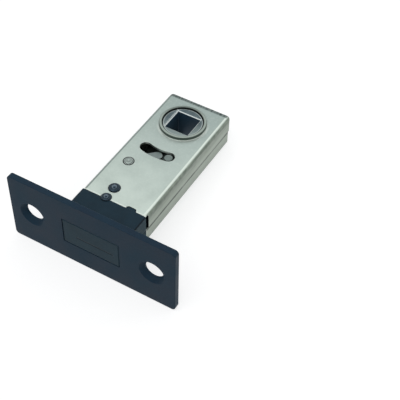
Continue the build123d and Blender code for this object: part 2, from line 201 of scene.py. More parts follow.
# %% Satin black coat for the forend
def satin_black_coat():
    material, tree, surface, place = new_finish("satin_black_coat_on_steel", Specular_IOR_Level=0.12)
    drift, colour = two_tones(tree, place, 9, "#15293a", "#193343")
    grain = add(tree, "ShaderNodeTexNoise", {"Vector": place, "Scale": per_mm(0.5), "Detail": 2.0})
    fine = add(tree, "ShaderNodeMapRange",
               {"Value": grain, "From Min": 0.45, "From Max": 0.75, "To Max": 0.3})
    worn = edge_wear_and_highlight(tree, 0.22, 0.98, 0.8, 0.55)
    painted(tree, surface, colour, [(fine, "#243e50"), (worn, "#4d5e6b")])
    drifting_sheen(tree, surface, drift, 0.42, 0.55)
    peel = add(tree, "ShaderNodeBump", {"Height": grain, "Distance": 0.015 * MM})
    tree.links.new(peel, surface.inputs["Normal"])
    return material


forend_black = satin_black_coat()
print(forend_black.name, len(forend_black.node_tree.nodes), "nodes")

# %% [markdown]
# ## Black die casting on the guide
# The bolt guide is die cast in zinc in two halves and stained black. A casting has no rolled surface: it is
# finely pitted and a little lighter than the coated forend. Its pits are near 0.3 mm, drawn here at 0.6 mm.
# The long bends are painted near black, as painted shade along the crease, and the faces that look sideways
# are painted lighter and greener, as painted light. The lower half is a copy of the finish painted slightly
# greener and lighter, a painted reflection of the table under it, and the studs are burnished by the punch
# that sets them. Such a band of painted shade lies between two directions of the surface, so its mask rises
# over one stretch of a value and falls again over another.

# %% Black die castings
def overlap(tree, *masks):
    """How far all of these masks hold at once: their product."""
    shared = masks[0]
    for mask in masks[1:]:
        shared = add(tree, "ShaderNodeMath", {0: shared, 1: mask}, operation="MULTIPLY")
    return shared


def between(tree, value, rises, falls, most=1.0):
    """A mask that rises over one stretch of a value and falls again over another."""
    up = add(tree, "ShaderNodeMapRange",
             {"Value": value, "From Min": rises[0], "From Max": rises[1], "To Max": most})
    down = add(tree, "ShaderNodeMapRange", {"Value": value, "From Min": falls[1], "From Max": falls[0]})
    return overlap(tree, up, down)


def black_die_casting(name, dark, light, rubbed_and_painted_light, shine, gloss, pit=0.025):
    material, tree, surface, place = new_finish(name, Specular_IOR_Level=gloss)
    colour = two_tones(tree, place, 4, dark, light)[1]
    pits = add(tree, "ShaderNodeTexNoise", {"Vector": place, "Scale": per_mm(0.6), "Detail": 3.0})
    worn = edge_wear_and_highlight(tree, 0.3, 0.97, 0.75, 0.5)
    turned = add(tree, "ShaderNodeNewGeometry").node.outputs["Normal"]
    facing = add(tree, "ShaderNodeSeparateXYZ", {"Vector": turned}).node.outputs
    sideways = add(tree, "ShaderNodeMath", {0: facing["X"]}, operation="ABSOLUTE")
    # Painted shade along the crease of each long bend, and painted light on the faces that look sideways.
    crease_shade = between(tree, sideways, (0.15, 0.35), (0.85, 0.98), 0.85)
    side_light = add(tree, "ShaderNodeMapRange",
                {"Value": sideways, "From Min": 0.95, "From Max": 0.99, "To Max": 0.6})
    painted(tree, surface, colour, [(worn, rubbed_and_painted_light), (crease_shade, "#06121b"), (side_light, "#17404a")])
    drifting_sheen(tree, surface, pits, shine - 0.05, shine + 0.08)
    rough = add(tree, "ShaderNodeBump", {"Height": pits, "Distance": pit * MM})
    tree.links.new(rough, surface.inputs["Normal"])
    return material


guide_black = black_die_casting("black_die_cast_zinc", "#162b37", "#1a323f", "#475763", 0.48, 0.12)
# The lower half: the same finish painted greener and lighter, as a painted reflection of the table.
guide_lower_painted_reflection = black_die_casting("black_die_cast_zinc_lower_painted_reflection", "#182f33", "#21393c", "#4e5f60",
                                      0.52, 0.12)
stud_black = black_die_casting("burnished_black_stud", "#12202b", "#1d2f3c", "#465868", 0.16, 0.5, 0.08)
stud_shader = stud_black.node_tree.nodes["Principled BSDF"]
stud_shader.inputs["Specular Tint"].default_value = linear("#b4d2ea")
print("black castings", guide_black.name, guide_lower_painted_reflection.name, stud_black.name)

# %% [markdown]
# ## The bolt's black face
# The bolt is coated like the forend. A shallow line crosses its face, slightly below the middle, where two
# pressing tools met. It is too shallow to model, so the material draws it from object coordinates: a narrow
# band in Z, cut off at both ends in X. The sides of the bolt slide in the guide, so they carry fine rub
# marks along Y, near 0.15 mm wide on the real piece and drawn at 0.4 mm.

# %% Coated bolt with its tool line
def apart(tree, value, centre):
    """How far a value is from a centre, to either side."""
    off = add(tree, "ShaderNodeMath", {0: value, 1: centre}, operation="SUBTRACT")
    return add(tree, "ShaderNodeMath", {0: off}, operation="ABSOLUTE")


def coated_bolt():
    material, tree, surface, place = new_finish("satin_black_coated_bolt", Specular_IOR_Level=0.12)
    colour = two_tones(tree, place, 6, "#1a313c", "#1f3945")[1]
    axes = add(tree, "ShaderNodeSeparateXYZ", {"Vector": place}).node.outputs
    grain = add(tree, "ShaderNodeTexNoise", {"Vector": place, "Scale": per_mm(0.5), "Detail": 2.0})
    drawn = add(tree, "ShaderNodeMapping", {"Vector": place, "Scale": (1, 0.05, 1)})
    rubs = add(tree, "ShaderNodeTexNoise", {"Vector": drawn, "Scale": per_mm(0.4), "Detail": 2.0})
    rubbed_and_painted_light = add(tree, "ShaderNodeMapRange",
                 {"Value": rubs, "From Min": 0.5, "From Max": 0.7, "To Max": 0.5})
    inside = add(tree, "ShaderNodeMapRange",
                 {"Value": axes["Y"], "From Min": 0.3 * MM, "From Max": 0.8 * MM})
    rubbed_and_painted_light = overlap(tree, rubbed_and_painted_light, inside)
    off_line = apart(tree, axes["Z"], BOLT_LINE[1] * MM)
    band = add(tree, "ShaderNodeMapRange",
               {"Value": off_line, "From Min": 0.26 * MM, "From Max": 0.08 * MM})
    off_middle = apart(tree, axes["X"], BOLT_LINE[0] * MM)
    ends = add(tree, "ShaderNodeMapRange", {"Value": off_middle, "From Min": (BOLT_LINE_REACH + 0.3) * MM,
                                            "From Max": BOLT_LINE_REACH * MM})
    line = overlap(tree, band, ends)
    painted(tree, surface, colour, [(rubbed_and_painted_light, "#4c5c66"), (overlap(tree, line, 0.8), "#0a141c")])
    drifting_sheen(tree, surface, grain, 0.42, 0.54)
    peel = add(tree, "ShaderNodeBump", {"Height": grain, "Distance": 0.015 * MM})
    level = add(tree, "ShaderNodeMath", {0: 1.0, 1: line}, operation="SUBTRACT")
    groove = add(tree, "ShaderNodeBump", {"Height": level, "Distance": 0.1 * MM, "Normal": peel})
    tree.links.new(groove, surface.inputs["Normal"])
    return material


bolt_black = coated_bolt()
print(bolt_black.name, len(bolt_black.node_tree.nodes), "nodes")

# %% [markdown]
# ## Zinc plate on the case
# The shells are pressed from bright rolled strip and zinc plated, with a clear chromate that leans green.
# The plate is painted a cooler, darker grey towards the rear, as painted shade. Plate isn't a mirror: it is
# part metal and part fine crystals, so the shader mixes a metal's reflection with a diffuse share. Some
# layers are marks that making a shell leaves, and some are painted light and shade. The masks come from
# where a point lies and which way it faces, so the first cell reads both, with the three patterns of the
# strip: slow clouds, crystals and the lines that rolling leaves along Y.

# %% Start the plate with its places, directions and patterns
shell_zinc, tree, surface, place = new_finish("clear_chromated_zinc_plate", Metallic=0.55)
case_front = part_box("upper_shell")[0].y
case_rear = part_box("upper_shell")[1].y
axes = add(tree, "ShaderNodeSeparateXYZ", {"Vector": place}).node.outputs
turned = add(tree, "ShaderNodeNewGeometry").node.outputs["Normal"]
facing = add(tree, "ShaderNodeSeparateXYZ", {"Vector": turned}).node.outputs
sideways = add(tree, "ShaderNodeMath", {0: facing["X"]}, operation="ABSOLUTE")
upright = add(tree, "ShaderNodeMath", {0: facing["Z"]}, operation="ABSOLUTE")
level = add(tree, "ShaderNodeMath", {0: axes["Z"]}, operation="ABSOLUTE")
cloud = add(tree, "ShaderNodeTexNoise", {"Vector": place, "Scale": per_mm(7), "Detail": 4.0})
crystals = add(tree, "ShaderNodeTexNoise", {"Vector": place, "Scale": per_mm(0.8), "Detail": 3.0})
drawn = add(tree, "ShaderNodeMapping", {"Vector": place, "Scale": (1, 0.04, 1)})
rolled = add(tree, "ShaderNodeTexNoise", {"Vector": drawn, "Scale": per_mm(0.45), "Detail": 2.0})

# Painted shade: the plate is painted darker and cooler towards the rear.
painted_rear_shade = add(tree, "ShaderNodeMapRange", {"Value": axes["Y"], "From Min": 14 * MM, "From Max": 60 * MM})
plate_colour = layered(tree, linear("#c3d0c8"), [(painted_rear_shade, "#a0b0ac")])
patches = add(tree, "ShaderNodeMapRange",
              {"Value": cloud, "From Min": 0.35, "From Max": 0.7, "To Max": 0.4})
sparkle = add(tree, "ShaderNodeMapRange",
              {"Value": crystals, "From Min": 0.5, "From Max": 0.8, "To Max": 0.3})
plate_layers = [(patches, "#98a6a0"), (sparkle, "#cdd7d0")]
print("patterns of the plate", len(tree.nodes), "nodes")

# %% [markdown]
# The walls are painted darker than the top, as painted shade, and are duller as well. Towards the bend they
# are painted darker still in blotches, a painted dark reflection. The rolling lines show as streaks there,
# and the lower edge is a little darker again. Each long bend gets a painted highlight along its crest: a
# bright line on the right and a grey one on the left.

# %% Walls and the crests of the long bends
# Painted shade: the walls get a darker colour than the top, with a painted dark reflection below the bend.
wall = add(tree, "ShaderNodeMapRange", {"Value": sideways, "From Min": 0.45, "From Max": 0.7})
dark_reflection_band = add(tree, "ShaderNodeMapRange", {"Value": axes["Z"], "From Min": 1.2 * MM, "From Max": 4.4 * MM})
blotches = add(tree, "ShaderNodeTexNoise", {"Vector": place, "Scale": per_mm(1.6), "Detail": 3.0})
blotches = add(tree, "ShaderNodeMapRange",
               {"Value": blotches, "From Min": 0.35, "From Max": 0.6, "To Min": 0.7})
dark_reflection_band = overlap(tree, dark_reflection_band, blotches)
under = add(tree, "ShaderNodeMapRange",
            {"Value": axes["Z"], "From Min": -2 * MM, "From Max": -5 * MM, "To Max": 0.6})
streaks = add(tree, "ShaderNodeMapRange",
              {"Value": rolled, "From Min": 0.4, "From Max": 0.7, "To Max": 0.35})
side_shade_colour = layered(tree, linear("#a3aea2"), [(dark_reflection_band, "#677368"), (under, "#88928a"),
                                                (streaks, "#b9c2b4")])
# Painted highlight along the crest of each long bend.
crest_highlight = between(tree, sideways, (0.02, 0.12), (0.4, 0.62))
outside = add(tree, "ShaderNodeMapRange", {"Value": level, "From Min": 3.9 * MM, "From Max": 4.3 * MM})
crest_highlight = overlap(tree, crest_highlight, outside)
right_hand = add(tree, "ShaderNodeMath", {0: facing["X"], 1: 0.0}, operation="GREATER_THAN")
crest_highlight_colour = layered(tree, linear("#7f8c88"), [(right_hand, "#dde8df")])
plate_layers += [(wall, side_shade_colour), (crest_highlight, crest_highlight_colour)]
print("with walls and crests", len(tree.nodes), "nodes")

# %% [markdown]
# The bend round the rear is stretched instead, which leaves short dark ticks square to it. Painted shade
# darkens the plate along the joint between the shells, more in some places than in others, and an Ambient
# Occlusion node paints shade into every corner.

# %% Rear ticks and painted shade
behind = add(tree, "ShaderNodeMapRange",
             {"Value": axes["Y"], "From Min": case_rear - 2.1 * MM, "From Max": case_rear - 1.6 * MM})
across = add(tree, "ShaderNodeMapping", {"Vector": place, "Scale": (1, 0.1, 0.1)})
ticks = add(tree, "ShaderNodeTexNoise", {"Vector": across, "Scale": per_mm(0.55), "Detail": 2.0})
ticks = add(tree, "ShaderNodeMapRange", {"Value": ticks, "From Min": 0.35, "From Max": 0.62, "To Min": 0.5})
bent = add(tree, "ShaderNodeMapRange",
           {"Value": level, "From Min": (CASE_TOP - 1.6) * MM, "From Max": (CASE_TOP - 0.5) * MM})
middle = add(tree, "ShaderNodeMapRange", {"Value": sideways, "From Min": 0.6, "From Max": 0.3})
ticks = overlap(tree, ticks, behind, bent, middle)

# Painted shade along the joint, under the edge of the upper shell.
off_joint = apart(tree, axes["Z"], JOINT * MM)
joint_shade = add(tree, "ShaderNodeMapRange", {"Value": off_joint, "From Min": 0.8 * MM, "From Max": 0.5 * MM})
uneven = add(tree, "ShaderNodeMapRange",
               {"Value": cloud, "From Min": 0.35, "From Max": 0.6, "To Min": 0.6, "To Max": 0.95})
joint_shade = overlap(tree, joint_shade, uneven)
# Painted shade in every corner, found by ambient occlusion.
open_sky = add(tree, "ShaderNodeAmbientOcclusion", {"Distance": 0.7 * MM}, samples=8).node.outputs["AO"]
corner = add(tree, "ShaderNodeMapRange",
             {"Value": open_sky, "From Min": 0.85, "From Max": 0.35, "To Max": 0.75})
plate_layers += [(ticks, "#354240"), (joint_shade, "#39423c"), (corner, "#414b46")]
print("with ticks and dirt", len(tree.nodes), "nodes")

# %% [markdown]
# The collar is drawn up out of the top. Its rim is painted a little duller than the plate and darker behind
# the axis, as painted shade, and its flank is painted dark, as painted shade. Its foot gets a painted
# shadow behind the axis and a painted highlight on the side of the forend. Both are told apart by how far a
# point lies behind the follower's axis, along a line 30 degrees off the case.

# %% Collar
def from_axis(tree, place, centre):
    """The way from an upright axis to a point, level with it; the centre is in millimetres."""
    off = add(tree, "ShaderNodeVectorMath",
              {0: place, 1: (centre[0] * MM, centre[1] * MM, 0)}, operation="SUBTRACT")
    return add(tree, "ShaderNodeVectorMath", {0: off, 1: (1, 1, 0)}, operation="MULTIPLY")


off_axis = from_axis(tree, place, (0, BACKSET))
radius = add(tree, "ShaderNodeVectorMath", {0: off_axis}, operation="LENGTH")
# Painted shade on the rim behind the axis and on the flank; at the foot, a painted shadow behind and a
# painted highlight in front.
above = add(tree, "ShaderNodeMapRange",
            {"Value": level, "From Min": (CASE_TOP + 0.05) * MM, "From Max": (CASE_TOP + 0.15) * MM})
flank_shade = add(tree, "ShaderNodeMapRange", {"Value": upright, "From Min": 0.75, "From Max": 0.35})
flank_shade = overlap(tree, flank_shade, above)
behind_axis = add(tree, "ShaderNodeVectorMath", {0: off_axis, 1: (-0.5, 0.87, 0)}, operation="DOT_PRODUCT")
shaded_behind = add(tree, "ShaderNodeMapRange", {"Value": behind_axis, "From Min": 3 * MM, "From Max": 6 * MM})
lit_in_front = add(tree, "ShaderNodeMapRange", {"Value": behind_axis, "From Min": 1 * MM, "From Max": -4 * MM})
rim_colour_with_shade = layered(tree, linear("#98a59d"), [(shaded_behind, "#74807a")])
foot = add(tree, "ShaderNodeMapRange", {"Value": radius, "From Min": (COLLAR + 1.0) * MM,
                                        "From Max": (COLLAR + 0.3) * MM, "To Max": 0.8})
below = add(tree, "ShaderNodeMath", {0: 1.0, 1: above}, operation="SUBTRACT")
foot = overlap(tree, foot, below)
plate_layers += [(above, rim_colour_with_shade), (flank_shade, "#4a564f"),
                 (overlap(tree, foot, shaded_behind), "#3f4b47"), (overlap(tree, foot, lit_in_front), "#e3ece5")]
print("with the collar", len(tree.nodes), "nodes")

# %% [markdown]
# The front edge is painted bright, as a painted highlight, and a painted highlight runs along all the other
# edges. Each long wall has a relief for the guide near its front, and the cut face of that notch is painted
# near black, as painted shade behind the guide.

# %% Painted highlights on the edges, and the notches' painted shade
beside = add(tree, "ShaderNodeMath", {0: axes["X"]}, operation="ABSOLUTE")
beside = add(tree, "ShaderNodeMapRange",
             {"Value": beside, "From Min": (CASE_SIDE - 1.1) * MM, "From Max": (CASE_SIDE - 1.0) * MM})
past_front = add(tree, "ShaderNodeMapRange",
                 {"Value": axes["Y"], "From Min": case_front + 0.4 * MM, "From Max": case_front + 0.6 * MM})
# Painted shade on the cut faces of the notches.
notch_shade = add(tree, "ShaderNodeMapRange", {"Value": facing["Y"], "From Min": -0.4, "From Max": -0.7})
notch_shade = overlap(tree, notch_shade, beside, past_front)
# Painted highlights on the front edge and on all the edges.
front_edge_highlight = add(tree, "ShaderNodeMapRange",
              {"Value": axes["Y"], "From Min": case_front + 0.6 * MM, "From Max": case_front + 0.2 * MM})
edge_highlight = edge_wear_and_highlight(tree, 0.16, 0.97, 0.8, 0.6)
plate_layers += [(front_edge_highlight, "#d3ddd6"), (edge_highlight, "#e6eee8"), (notch_shade, "#0c1213")]
painted(tree, surface, plate_colour, plate_layers)
print("the plate's colour has", len(plate_layers), "layers")

# %% [markdown]
# The sheen is duller on the walls. Rolling lines, crystals, thin slanted scratches and a few small dents
# follow as bumps, each laid over the one before.

# %% Sheen and bumps of the plate
dull = add(tree, "ShaderNodeMapRange",
           {"Value": cloud, "From Min": 0.3, "From Max": 0.7, "To Min": 0.28, "To Max": 0.4})
wall_dull = add(tree, "ShaderNodeMath", {0: wall, 1: 0.1}, operation="MULTIPLY")
dull = add(tree, "ShaderNodeMath", {0: dull, 1: wall_dull}, operation="ADD")
tree.links.new(dull, surface.inputs["Roughness"])
slanted = add(tree, "ShaderNodeMapping",
              {"Vector": place, "Rotation": (0, 0, math.radians(-62)), "Scale": (1, 0.05, 1)})
paths = add(tree, "ShaderNodeTexNoise", {"Vector": slanted, "Scale": per_mm(0.35), "Detail": 0.0})
scratch = add(tree, "ShaderNodeMapRange", {"Value": paths, "From Min": 0.74, "From Max": 0.78})
cells = add(tree, "ShaderNodeTexVoronoi", {"Vector": place, "Scale": per_mm(2.6)})
dent = add(tree, "ShaderNodeMapRange", {"Value": cells, "From Max": 0.09})
bumps = add(tree, "ShaderNodeBump", {"Height": rolled, "Distance": 0.006 * MM})
for pattern, depth in ((crystals, 0.01), (scratch, 0.012), (dent, 0.03)):
    bumps = add(tree, "ShaderNodeBump", {"Height": pattern, "Distance": depth * MM, "Normal": bumps})
tree.links.new(bumps, surface.inputs["Normal"])
print(shell_zinc.name, len(tree.nodes), "nodes")

# %% [markdown]
# ## The other metals
# The lever, its washer and the bolt's tail are blanked from cold-rolled strip, so they carry fine rolling
# lines. Pins, sleeve and rivet are turned steel. The springs are drawn music wire, smooth and bright. The
# magnets are nickel plated. The follower is a plain zinc casting, grainy and grey. All start as full metals
# and differ in colour, roughness and grain.

# %% Bare metals
def bare_metal(name, dark, light, shine, grain, stretch=(1, 1, 1), depth=0.01, edge=(0.97, 0.8, 0.7)):
    material, tree, surface, place = new_finish(name, Metallic=1.0)
    colour = two_tones(tree, place, 3, dark, light)[1]
    drawn = add(tree, "ShaderNodeMapping", {"Vector": place, "Scale": stretch})
    texture = add(tree, "ShaderNodeTexNoise", {"Vector": drawn, "Scale": per_mm(grain), "Detail": 2.0})
    # The edges are painted lighter, partly as wear and partly as a painted highlight, which on the follower
    # draws bright lines along its chamfers.
    painted(tree, surface, colour, [(edge_wear_and_highlight(tree, 0.15, *edge), "#e8eceb")])
    drifting_sheen(tree, surface, texture, shine - 0.05, shine + 0.1)
    worked = add(tree, "ShaderNodeBump", {"Height": texture, "Distance": depth * MM})
    tree.links.new(worked, surface.inputs["Normal"])
    return material


follower_cast = bare_metal("tumbled_zinc_casting", "#4b585d", "#626f72", 0.38, 0.6, depth=0.02,
                           edge=(0.995, 0.95, 0.9))
strip_steel = bare_metal("cold_rolled_strip_steel", "#6a7574", "#808a88", 0.35, 0.4, (1, 0.06, 1))
turned_steel = bare_metal("turned_steel", "#76817e", "#8f9996", 0.32, 0.5, (1, 1, 0.1), 0.005)
riveted_steel = bare_metal("peened_rivet_steel", "#7c8783", "#959f9b", 0.28, 0.5, depth=0.01)
pin_steel = bare_metal("turned_pin_steel", "#5d6865", "#778380", 0.3, 0.5, (1, 1, 0.1), 0.005)
music_wire = bare_metal("drawn_music_wire", "#6f7679", "#8d9395", 0.25, 0.5)
nickel_plate = bare_metal("nickel_plate", "#b5b3a8", "#c9c6bb", 0.15, 0.8, depth=0.004)
print("materials", len(bpy.data.materials))

# %% [markdown]
# ## Marks that belong to one place
# Some marks are rings round an axis. A ring of painted shade fills the gap round each turning or riveted
# piece, and a ring of painted highlight lies on the follower's chamfer. The studs have a ring of painted
# highlight round their dimple, painted shade in the groove round that, and painted shade at their edge. The
# walls of the follower's square hole are painted dark navy and made hardly metallic, as painted shade
# inside the hole. Its rim gets a painted highlight and is hardly metallic too, and the face is painted
# lighter towards the forend, as painted light.

# %% Rings and the square hole
def reopened(material):
    """A finished material's tree, its shader, its colour so far, and fresh object coordinates."""
    tree = material.node_tree
    surface = tree.nodes["Principled BSDF"]
    colour = surface.inputs["Base Color"].links[0].from_socket
    return tree, surface, colour, add(tree, "ShaderNodeTexCoord").node.outputs["Object"]


def ring_mark(material, centre, inner, outer, strength, shade="#272e2c"):
    """Adds a ring of painted shade or of painted highlight, as its colour gives, between two radii in
    millimetres round an upright axis.
    """
    tree, surface, colour, place = reopened(material)
    radius = add(tree, "ShaderNodeVectorMath", {0: from_axis(tree, place, centre)}, operation="LENGTH")
    starts, stops = ([(edge - 0.05) * MM, (edge + 0.05) * MM] for edge in (inner, outer))
    ring = between(tree, radius, starts, stops, strength)
    painted(tree, surface, colour, [(ring, shade)])


def darken_square(material):
    """Paints the follower's square hole dark as painted shade, gives its rim a painted highlight, and
    paints the face lighter towards the forend as painted light.
    """
    tree, surface, colour, place = reopened(material)
    axes = add(tree, "ShaderNodeSeparateXYZ", {"Vector": place}).node.outputs
    off_x = add(tree, "ShaderNodeMath", {0: axes["X"]}, operation="ABSOLUTE")
    off_y = apart(tree, axes["Y"], BACKSET * MM)
    off_centre = add(tree, "ShaderNodeMath", {0: off_x, 1: off_y}, operation="MAXIMUM")
    # Painted shade inside the square hole, and a painted highlight on its rim.
    shaded_hole = add(tree, "ShaderNodeMapRange", {"Value": off_centre, "From Min": (SPINDLE / 2 + 0.08) * MM,
                                            "From Max": (SPINDLE / 2 + 0.02) * MM})
    rim_highlight = add(tree, "ShaderNodeMapRange", {"Value": off_centre, "From Min": (SPINDLE / 2 + 0.3) * MM,
                                           "From Max": (SPINDLE / 2 + 0.2) * MM})
    # Painted light: the face is painted lighter along a line towards the forend.
    forward = (0.4, -0.92, 0)
    middle = forward[1] * BACKSET
    along = add(tree, "ShaderNodeVectorMath", {0: place, 1: forward}, operation="DOT_PRODUCT")
    rubbed_and_painted_light = add(tree, "ShaderNodeMapRange", {"Value": along, "From Min": (middle - 1) * MM,
                                              "From Max": (middle + 7) * MM, "To Max": 0.6})
    painted(tree, surface, colour, [(rubbed_and_painted_light, "#9aa7a2"), (rim_highlight, "#dbe3e1"), (shaded_hole, "#2a4557")])
    bare = add(tree, "ShaderNodeMapRange", {"Value": rim_highlight, "To Min": 1.0, "To Max": 0.2})
    tree.links.new(bare, surface.inputs["Metallic"])


darken_square(follower_cast)
# A ring of painted shade in the gap round the barrel, and a ring of painted highlight on its chamfer.
ring_mark(follower_cast, (0, BACKSET), BARREL - 0.2, BARREL + 0.3, 0.9)
ring_mark(follower_cast, (0, BACKSET), BARREL - 0.5, BARREL - 0.3, 0.5, "#c9d3d0")
# On each stud, a painted highlight round the dimple, painted shade in the groove, and painted shade at the
# edge.
for x, y, diameter in (REAR_STUD, FRONT_STUD):
    ring_mark(stud_black, (x, y), 0.1 * diameter, 0.21 * diameter, 0.6, "#8394a1")
    ring_mark(stud_black, (x, y), 0.26 * diameter, 0.33 * diameter, 0.9, "#0b1319")
    ring_mark(stud_black, (x, y), 0.46 * diameter, 0.52 * diameter, 0.9, "#0b1319")
# Rings of painted shade in the gaps round the pin, the rivet and the barrel.
ring_mark(pin_steel, DRIVE_PIN, 1.28, 1.7, 0.8)
ring_mark(riveted_steel, PIVOT, 1.22, 1.9, 0.97)
ring_mark(shell_zinc, PIVOT, 1.2, 1.82, 0.97)
ring_mark(shell_zinc, (0, BACKSET), BARREL - 0.3, BARREL + 0.24, 0.95)
print("marks on", stud_black.name, follower_cast.name, shell_zinc.name)

# %% [markdown]
# ## Meshes from rings
# A plate with holes is easiest to build from rings of points. Each wall is a row of rings joined by quads,
# so an edge's rounding is only a few more rings, and the flat faces are filled between the rings that bound
# them.

# %% Rings of points
def oblong(half_x, half_z, corner, y):
    """A rounded rectangle of points, square to Y, with six steps round each corner."""
    ring = []
    for quarter, (side_x, side_z) in enumerate(((1, 1), (-1, 1), (-1, -1), (1, -1))):
        for step in range(7):
            angle = math.pi / 2 * (quarter + step / 6)
            x = side_x * (half_x - corner) + corner * math.cos(angle)
            z = side_z * (half_z - corner) + corner * math.sin(angle)
            ring.append(Vector((x, y, z)) * MM)
    return ring


def circle(x, z, radius, y, count=64):
    """A circle of points, square to Y."""
    angles = [2 * math.pi * step / count for step in range(count)]
    return [Vector((x + radius * math.cos(a), y, z + radius * math.sin(a))) * MM for a in angles]


def rounded(radius, steps=4):
    """Pairs of inset and depth down a rounded edge, from the face to the wall."""
    turns = [math.pi / 2 * step / steps for step in range(steps + 1)]
    return [(radius * (1 - math.sin(t)), radius * (1 - math.cos(t))) for t in turns]


# %% Walls and lids
def skin(name, walls, lids, material):
    """A closed mesh: rows of rings make the walls, and a lid is a flat face between the rings it names."""
    shape = bmesh.new()
    rows = []
    for rings in walls:
        made = [[shape.verts.new(point) for point in ring] for ring in rings]
        for low, high in zip(made, made[1:]):
            for here in range(len(low)):
                there = (here + 1) % len(low)
                shape.faces.new((low[here], low[there], high[there], high[here]))
        rows.append(made)
    for lid in lids:
        edges = []
        for wall, ring in lid:
            row = rows[wall][ring]
            edges += [shape.edges.get((row[i - 1], row[i])) for i in range(len(row))]
        bmesh.ops.triangle_fill(shape, use_beauty=True, use_dissolve=False, edges=edges)
    bmesh.ops.recalc_face_normals(shape, faces=shape.faces)
    return as_piece(name, shape, material)


def as_piece(name, shape, material, smooth=40):
    """Turns a bmesh into a piece with one material."""
    mesh = bpy.data.meshes.new(name)
    shape.to_mesh(mesh)
    shape.free()
    mesh.materials.append(material)
    return shown(name, mesh, smooth)


def shown(name, mesh, smooth=40):
    """A mesh as an object at the origin, smooth where its faces meet at less than this many degrees."""
    mesh.shade_smooth()
    mesh.set_sharp_from_angle(angle=math.radians(smooth))
    piece = bpy.data.objects.new(name, mesh)
    bpy.context.scene.collection.objects.link(piece)
    return piece


print("a rounded edge takes", len(rounded(1)), "rings")

# %% [markdown]
# ## The forend
# The real plate is blanked, its two screw holes are countersunk, and its front edges are broken before
# coating. It could be a cube with boolean cuts, but booleans leave long thin faces and no rounding. Rings
# give every edge its small radius, which is what catches the light on a black part. Behind the window, the
# plate has a wider recess, which takes the front of the guide.

# %% Build the forend
length, thick, height = FOREND
EDGE = 0.18
REAR_EDGE = 0.1
WINDOW_GAP = 0.15
WINDOW_CORNER = 0.25
RECESS_GAP = 0.05
RECESS_CORNER = 0.45
RECESS_DEPTH = 1
outer_wall = []
for inset, depth in rounded(EDGE) + [(0, thick - REAR_EDGE), (REAR_EDGE, thick)]:
    corner = FOREND_CORNER - inset
    outer_wall.append(oblong(length / 2 - inset, height / 2 - inset, corner, depth))
bolt_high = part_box("bolt_head")[1]
window_x = bolt_high.x / MM + WINDOW_GAP
window_z = bolt_high.z / MM + WINDOW_GAP
window = [oblong(window_x + grow, window_z + grow, WINDOW_CORNER + grow, depth)
          for grow, depth in ((0.1, 0), (0.03, 0.03), (0, 0.1), (0, thick - RECESS_DEPTH))]
window += [oblong(CASE_SIDE + RECESS_GAP, CASE_TOP + RECESS_GAP, RECESS_CORNER, depth)
           for depth in (thick - RECESS_DEPTH, thick)]
sinks = []
for side in (-1, 1):
    slope = (SCREW_SINK - SCREW_HOLE) / 2
    steps = [(SCREW_SINK / 2 + 0.08, 0), (SCREW_SINK / 2 - 0.03, 0.06),
             (SCREW_HOLE / 2 + 0.05, slope - 0.04), (SCREW_HOLE / 2, slope + 0.08),
             (SCREW_HOLE / 2, thick - 0.08), (SCREW_HOLE / 2 + 0.08, thick)]
    sinks.append([circle(side * SCREW_SPACING / 2, 0, radius, depth) for radius, depth in steps])
walls = [outer_wall, window] + sinks
front_lid = [(wall, 0) for wall in range(4)]
back_lid = [(wall, -1) for wall in range(4)]
forend = skin("forend_plate", walls, [front_lid, back_lid], forend_black)
weigh = forend.modifiers.new("flat faces stay flat", "WEIGHTED_NORMAL")
weigh.keep_sharp = True
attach(forend, "case")
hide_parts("forend")
print("forend faces", len(forend.data.polygons))

# %% [markdown]
# ## Softened copies of the CAD pieces
# The pressed shells and the castings already have the right shape, but CAD faces meet at knife edges and
# are shaded flat. A copy is merged into one skin, a narrow bevel rounds what is sharp, and weighted normals
# keep the large faces flat while the small ones turn the light. The real edges have the same small break,
# from tumbling and plating.

# %% Soften and dress the castings and pressings
def softened(node, name, material, body, width):
    """A merged copy of a CAD node with its sharp edges broken by this width in millimetres."""
    shape = bmesh.new()
    shape.from_mesh(nodes[node].data)
    bmesh.ops.remove_doubles(shape, verts=shape.verts, dist=0.002 * MM)
    bmesh.ops.dissolve_limit(shape, angle_limit=math.radians(0.6), verts=shape.verts, edges=shape.edges)
    piece = as_piece(name, shape, material, 35)
    bevel = piece.modifiers.new("broken edges", "BEVEL")
    bevel.width = width * MM
    bevel.segments = 2
    bevel.limit_method = "ANGLE"
    bevel.angle_limit = math.radians(50)
    weigh = piece.modifiers.new("flat faces stay flat", "WEIGHTED_NORMAL")
    weigh.keep_sharp = True
    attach(piece, body)
    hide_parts(node)
    print(piece.name, len(piece.data.polygons), "faces")


softened("guide_upper", "guide_upper_casting", guide_black, "case", 0.12)
softened("guide_lower", "guide_lower_casting", guide_lower_painted_reflection, "case", 0.12)
softened("upper_shell", "upper_shell_pressing", shell_zinc, "case", 0.07)
softened("lower_shell", "lower_shell_pressing", shell_zinc, "case", 0.07)
softened("follower", "follower_casting", follower_cast, "follower", 0.08)
softened("drive_pin", "drive_pin_turned", pin_steel, "follower", 0.05)
softened("lever", "lever_blank", strip_steel, "lever", 0.06)
softened("bolt_head", "bolt_block", bolt_black, "bolt", 0.06)
softened("bolt_tail", "bolt_tail_blank", strip_steel, "bolt", 0.06)

# %% [markdown]
# ## Pieces that stay as they are
# The small pieces inside the case are right as the CAD gives them. They only need their finishes.

# %% Finish the inner pieces
inner = {"lever_rivet": turned_steel, "pivot_sleeve": turned_steel, "lever_washer": strip_steel,
         "lever_post": turned_steel, "bolt_pin": turned_steel, "magnet_left": nickel_plate,
         "magnet_right": nickel_plate, "lever_spring": music_wire}
for node, material in inner.items():
    mesh = nodes[node].data
    mesh.materials.clear()
    mesh.materials.append(material)
print("finished", len(inner), "inner pieces")

